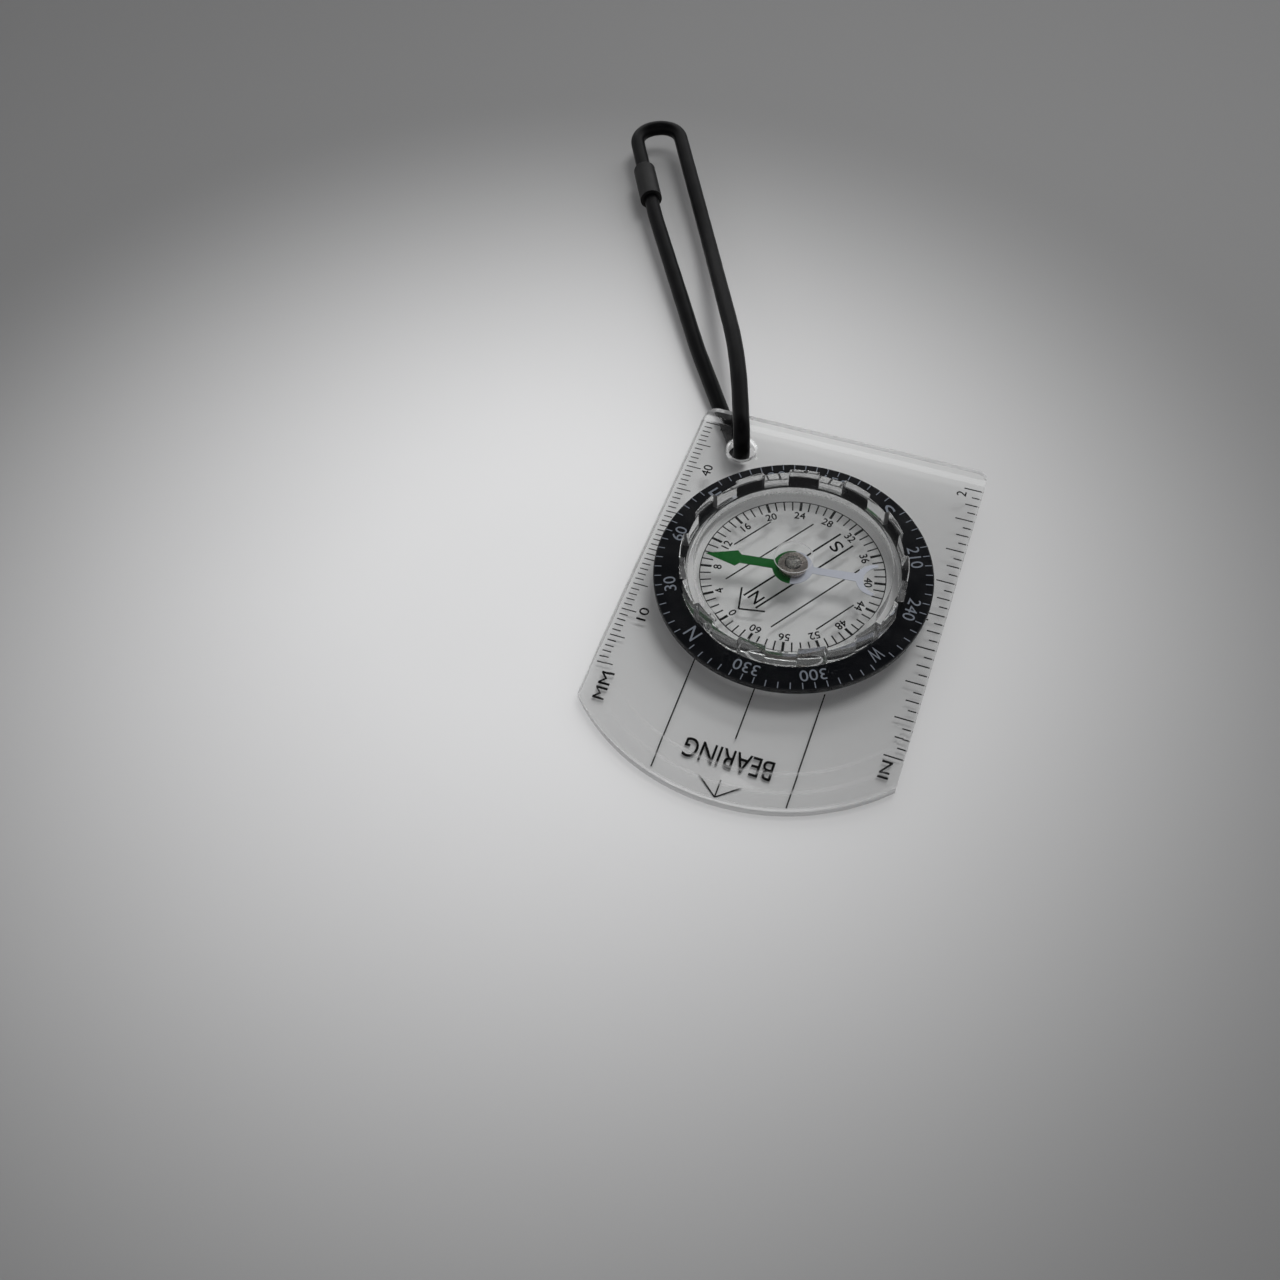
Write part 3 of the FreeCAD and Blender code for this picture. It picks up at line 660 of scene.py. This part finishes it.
def print_dial():
    """The capsule's own scale of sixty-four parts, with the lines and arrow that face north."""
    ink = Print("dial_print", DIAL_INK_TOP - INK, DIAL_INK_TOP)
    ink.circle(14.09, 0.16)
    parts = 64
    for count in range(parts):
        turn = NORTH - 360.0 * count / parts
        major = count % 4 == 0
        ink.stroke(about_axis(12.36, turn), about_axis(14.05, turn), 0.42 if major else 0.23)
        if major:
            ink.word(str(count), about_axis(11.45, turn), 1.25, turn - 90.0, weight=0.03)
    north = about_axis(1.0, NORTH)
    west = about_axis(1.0, NORTH + 90.0)

    def on_dial(ahead, aside):
        return north * ahead + west * aside

    for side in (1, -1):
        ink.stroke(on_dial(-10.8, 1.45 * side), on_dial(8.2, 1.45 * side), 0.31)
        ink.stroke(on_dial(-8.7, 5.5 * side), on_dial(8.5, 5.5 * side), 0.23)
        ink.stroke(on_dial(-3.75, 9.9 * side), on_dial(3.5, 9.9 * side), 0.23)
        ink.stroke(on_dial(7.5, 2.8 * side), on_dial(10.3, 0.0), 0.29)
    ink.word("N", on_dial(6.95, 0.0), 2.0, NORTH - 90.0, width=1.7, weight=0.03)
    ink.word("S", on_dial(-8.7, 0.0), 2.0, NORTH - 90.0, width=1.5, weight=0.03)
    ink.done("dial", black_ink, "capsule_plastic")


print_direction_lines()
print_millimetre_scale()
print_inch_scale()
print_ring()
print_dial()


# ----------------------------------------------------------------------- cord


def rounded_line(corners, step):
    """Points along a line through corners (place, radius) whose turns are tangent arcs."""
    points = [corners[0][0].copy()]
    for index in range(1, len(corners) - 1):
        corner, radius = corners[index]
        arriving = (corner - corners[index - 1][0]).normalized()
        leaving = (corners[index + 1][0] - corner).normalized()
        turn = arriving.angle(leaving)
        tangent = radius * math.tan(turn / 2)
        inward = (leaving - arriving).normalized()
        centre = corner + inward * (radius / math.cos(turn / 2))
        first = corner - arriving * tangent
        axis = arriving.cross(leaving).normalized()
        count = max(2, math.ceil(radius * turn / step))
        for part in range(count + 1):
            spoke = Matrix.Rotation(turn * part / count, 3, axis) @ (first - centre)
            points.append(centre + spoke)
    points.append(corners[-1][0].copy())
    return points


def spaced(points, step):
    """The same line as evenly spaced points."""
    total = sum((b - a).length for a, b in zip(points, points[1:]))
    count = math.ceil(total / step)
    gap = total / count
    result = [points[0].copy()]
    need = gap
    for a, b in zip(points, points[1:]):
        length = (b - a).length
        done = 0.0
        while length - done >= need - 1e-9:
            done += need
            result.append(a.lerp(b, done / length))
            need = gap
        need -= length - done
    if (result[-1] - points[-1]).length > 0.25 * gap:
        result.append(points[-1].copy())
    return result


def eased(points, rounds):
    """Smooth a line of points, with both ends held."""
    for _ in range(rounds):
        middle = [(a + 2 * b + c) / 4 for a, b, c in zip(points, points[1:], points[2:])]
        points = [points[0], *middle, points[-1]]
    return points


# the lanyard hole, the cord's heading from it and the level of its middle where it lies flat
CORD_HOLE = Vector((15.5, -22.8, 0.0))
CORD_HEADING = math.radians(29.0)
CORD_LYING = -1.6
CORD_CREST = 5.2
CORD_SPREAD = 4.4
CORD_REACH = 92.0
CORD_LOOP_BEND = 4.18
CORD_SLACK = 90.0
CORD_RADIUS = 1.39
CORD_SIDES = 28

# the cord's middle line as corners (along, across, level, bend radius), from joiner to joiner
CORD_CORNERS = (
    (74.6, CORD_SPREAD, CORD_LYING, 0.0),
    (CORD_REACH, CORD_SPREAD, CORD_LYING, CORD_LOOP_BEND),
    (CORD_REACH, -CORD_SPREAD, CORD_LYING, CORD_LOOP_BEND),
    (55.0, -CORD_SPREAD, CORD_LYING, CORD_SLACK),
    (18.4, -2.9, CORD_CREST, CORD_SLACK),
    (0.0, 0.0, CORD_CREST, 3.0),
    (0.0, 0.0, CORD_LYING, 2.2),
    (27.6, 2.6, CORD_LYING, CORD_SLACK),
    (65.0, CORD_SPREAD, CORD_LYING, CORD_SLACK),
    (74.4, CORD_SPREAD, CORD_LYING, 0.0),
)


def build_cord():
    """The neck cord as a smooth round cord with the slight unevenness of drawn rubber."""
    along = Vector((math.sin(CORD_HEADING), -math.cos(CORD_HEADING), 0.0))
    across = Vector((math.cos(CORD_HEADING), math.sin(CORD_HEADING), 0.0))
    corners = []
    for ahead, aside, level, radius in CORD_CORNERS:
        place = CORD_HOLE + along * ahead + across * aside + Vector((0.0, 0.0, level))
        corners.append((place, radius))
    line = eased(spaced(rounded_line(corners, 0.15), 0.35), 6)
    shape = bmesh.new()
    rings = []
    facing = None
    for index, place in enumerate(line):
        before = line[max(index - 1, 0)]
        after = line[min(index + 1, len(line) - 1)]
        ahead = (after - before).normalized()
        if facing is None:
            facing = ahead.orthogonal().normalized()
        facing = (facing - ahead * facing.dot(ahead)).normalized()
        side = ahead.cross(facing)
        swell = CORD_RADIUS
        swell += 0.010 * math.sin(0.37 * index) + 0.006 * math.sin(0.11 * index + 1.0)
        ring = []
        for number in range(CORD_SIDES):
            turn = 2 * math.pi * number / CORD_SIDES
            spoke = facing * math.cos(turn) + side * math.sin(turn)
            ring.append(shape.verts.new((place + spoke * swell) * MM))
        rings.append(ring)
    for first, second in zip(rings, rings[1:]):
        for number in range(CORD_SIDES):
            after = (number + 1) % CORD_SIDES
            shape.faces.new((first[number], first[after], second[after], second[number]))
    shape.faces.new(list(reversed(rings[0])))
    shape.faces.new(rings[-1])
    bmesh.ops.recalc_face_normals(shape, faces=shape.faces)
    for face in shape.faces:
        face.smooth = len(face.verts) == 4
    mesh = bpy.data.meshes.new("cord")
    shape.to_mesh(mesh)
    shape.free()
    mesh.materials.append(make_cord_rubber())
    cord = bpy.data.objects.new("cord", mesh)
    scene.collection.objects.link(cord)
    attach(cord, "plate")
    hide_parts("neck_cord")


build_cord()


# ------------------------------------------------------ floor, light and camera


# the floor touches the plate's travel end, and lies CORD_DROP lower where the cord comes down
TRAVEL_END = 39.2
CORD_LANDING = -26.0
CORD_DROP = 3.0
FLOOR_GAP = 0.06
FLOOR_HALF_M = 2.5
FLOOR_TILT = math.atan2(CORD_DROP, TRAVEL_END - CORD_LANDING)


def build_floor():
    """A wide pale table top that touches the plate's travel end and drops away under the cord."""
    half = FLOOR_HALF_M
    mesh = bpy.data.meshes.new("floor")
    corners = [(-half, -half, 0), (half, -half, 0), (half, half, 0), (-half, half, 0)]
    mesh.from_pydata(corners, [], [(0, 1, 2, 3)])
    mesh.materials.append(make_floor_paint())
    floor = bpy.data.objects.new("floor", mesh)
    touch = Vector((0.0, TRAVEL_END, -FLOOR_GAP)) * MM
    floor.matrix_world = Matrix.Translation(touch) @ Matrix.Rotation(FLOOR_TILT, 4, "X")
    scene.collection.objects.link(floor)


def aim(item, place, target):
    """Put an item at a place and turn it towards a target, both in millimetres."""
    item.location = Vector(place) * MM
    item.rotation_mode = "QUATERNION"
    item.rotation_quaternion = (Vector(target) - Vector(place)).to_track_quat("-Z", "Y")


def add_softbox(name, place, target, width, height, watts):
    """A rectangular soft light."""
    light = bpy.data.lights.new(name, "AREA")
    light.shape = "RECTANGLE"
    light.size = width * MM
    light.size_y = height * MM
    light.energy = watts
    item = bpy.data.objects.new(name, light)
    scene.collection.objects.link(item)
    aim(item, place, target)
    return item


def add_pool(name, place, target, radius, angle, watts):
    """A soft round pool of light that fades outwards."""
    light = bpy.data.lights.new(name, "SPOT")
    light.spot_size = math.radians(angle)
    light.spot_blend = 1.0
    light.shadow_soft_size = radius * MM
    light.energy = watts
    item = bpy.data.objects.new(name, light)
    item.visible_glossy = False
    item.visible_transmission = False
    scene.collection.objects.link(item)
    aim(item, place, target)


# the room's grey, by the upward part of the direction looked in
ROOM_STOPS = ((0.0, 0.60), (0.30, 0.55), (0.70, 0.36), (0.80, 0.06), (1.0, 0.06))


def build_world():
    """A grey room that is brighter low down than overhead."""
    world = bpy.data.worlds.new("room")
    world.use_nodes = True
    tree = world.node_tree
    tree.nodes.clear()
    place = tree.nodes.new("ShaderNodeTexCoord")
    split = tree.nodes.new("ShaderNodeSeparateXYZ")
    tree.links.new(place.outputs["Generated"], split.inputs[0])
    ramp = tree.nodes.new("ShaderNodeValToRGB")
    stops = ramp.color_ramp.elements
    for position, grey in ROOM_STOPS:
        if position == 0.0:
            stop = stops[0]
        elif position == 1.0:
            stop = stops[-1]
        else:
            stop = stops.new(position)
        stop.position = position
        stop.color = colour(grey, grey, 1.02 * grey)
    tree.links.new(split.outputs[2], ramp.inputs[0])
    light = tree.nodes.new("ShaderNodeBackground")
    tree.links.new(ramp.outputs[0], light.inputs[0])
    output = tree.nodes.new("ShaderNodeOutputWorld")
    tree.links.new(light.outputs[0], output.inputs[0])
    scene.world = world


CAMERA_PLACE = (-26.70, 114.35, 163.63)
CAMERA_AZIMUTH = math.radians(-155.079)
CAMERA_ELEVATION = math.radians(56.632)
CAMERA_ROLL = math.radians(-5.269)
CAMERA_LENS = 36.465


def build_camera():
    """The camera above the travel end, looking down towards the lanyard end."""
    back = Vector(
        (
            math.sin(CAMERA_AZIMUTH) * math.cos(CAMERA_ELEVATION),
            -math.cos(CAMERA_AZIMUTH) * math.cos(CAMERA_ELEVATION),
            math.sin(CAMERA_ELEVATION),
        )
    )
    level = Vector((0, 0, 1)).cross(back).normalized()
    upright = back.cross(level)
    right = level * math.cos(CAMERA_ROLL) + upright * math.sin(CAMERA_ROLL)
    up = back.cross(right)
    data = bpy.data.cameras.new("camera")
    data.lens = CAMERA_LENS
    data.sensor_width = 36.0
    data.clip_start = 0.01
    data.clip_end = 20.0
    camera = bpy.data.objects.new("camera", data)
    turn = Matrix((right, up, back)).transposed().to_4x4()
    camera.matrix_world = Matrix.Translation(Vector(CAMERA_PLACE) * MM) @ turn
    scene.collection.objects.link(camera)
    scene.camera = camera


build_floor()
build_world()
add_softbox("window", (60, -760, 400), (0, 0, 0), width=1300, height=480, watts=1.8)
add_softbox("ceiling", (0, 60, 900), (0, 0, 0), width=260, height=260, watts=0.3)
glints = add_softbox("glints", (-60, -560, 520), (0, 0, 0), width=420, height=90, watts=0.7)
glints.visible_glossy = False
add_pool("pool", (-110, -270, 700), (12, -46, 0), radius=170, angle=38, watts=11.0)
build_camera()

scene.view_settings.view_transform = "Standard"
scene.cycles.max_bounces = 24
scene.cycles.transmission_bounces = 20
scene.cycles.transparent_max_bounces = 32
scene.cycles.caustics_reflective = False
scene.cycles.caustics_refractive = False
